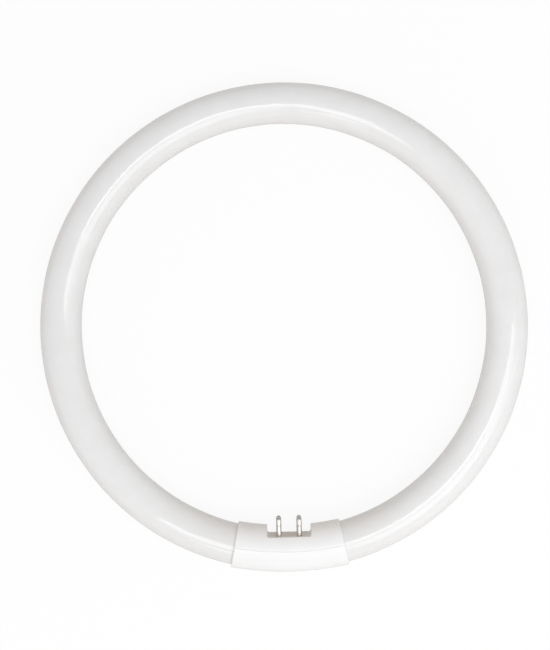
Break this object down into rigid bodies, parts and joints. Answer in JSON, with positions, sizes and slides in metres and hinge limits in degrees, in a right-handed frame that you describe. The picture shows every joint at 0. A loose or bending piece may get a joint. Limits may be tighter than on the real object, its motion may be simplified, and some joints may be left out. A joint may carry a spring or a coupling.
{
  "type": "circular fluorescent tube",
  "caption": "White coated glass tube bent to a ring, closed by a white plastic cap whose metal contact pins stand in a notch and point to the middle of the ring.",
  "frame": {"origin": "middle of the ring, on the surface that the lamp lies on", "axes": "+Z along the ring's axis, up from that surface; the cap is at -Y and its pins point along +Y"},
  "size_m": [0.19, 0.1904, 0.0181],
  "materials": {
    "coated_glass": "clear glass over a white coat",
    "cap_plastic": "satin white moulding",
    "pin_metal": "bright nickel plate on brass",
    "lead_metal": "bare wire"
  },
  "bodies": {
    "root": {"glass_tube": "coated_glass", "cap_inner_half": "cap_plastic", "cap_outer_half": "cap_plastic", "contact_pin_1": "pin_metal", "contact_pin_2": "pin_metal", "contact_pin_3": "pin_metal", "contact_pin_4": "pin_metal", "lead_wire_1": "lead_metal", "lead_wire_2": "lead_metal", "lead_wire_3": "lead_metal", "lead_wire_4": "lead_metal"}
  },
  "joints": []
}
